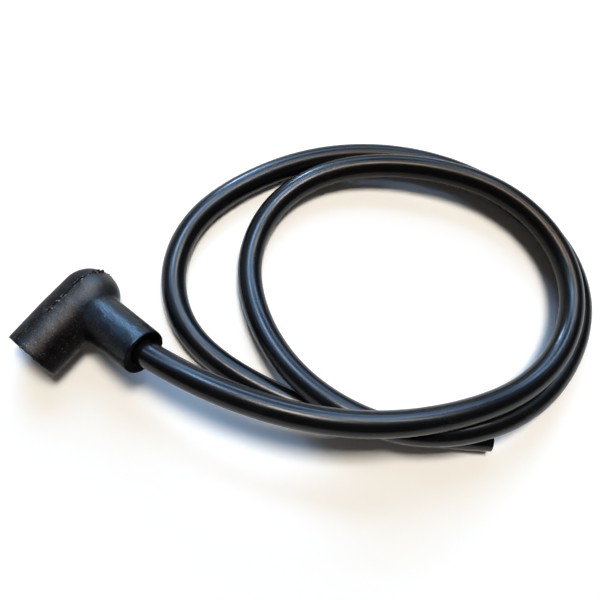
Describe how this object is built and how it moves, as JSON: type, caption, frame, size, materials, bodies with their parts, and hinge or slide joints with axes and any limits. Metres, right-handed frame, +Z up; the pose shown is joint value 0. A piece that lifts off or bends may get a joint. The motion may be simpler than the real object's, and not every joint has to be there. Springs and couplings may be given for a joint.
{
  "type": "spark plug wire",
  "caption": "Black ignition cable lying in loose loops, with a right-angle rubber spark plug boot on one end and the other end cut square.",
  "frame": {"origin": "on the surface that the part lies on, under the middle of the boot's bounding box", "axes": "+Z up; the boot's barrel lies along Y with its plug end at -Y; the boot's branch and the cable leave it towards +X"},
  "size_m": [0.1261, 0.1314, 0.0242],
  "materials": {
    "boot_rubber": "matt moulded, charcoal",
    "clip_metal": "zinc plated, satin",
    "cable_jacket": "smooth extruded, semi-gloss black"
  },
  "bodies": {
    "root": {"boot": "boot_rubber", "plug_terminal": "clip_metal", "cable": "cable_jacket"}
  },
  "joints": []
}
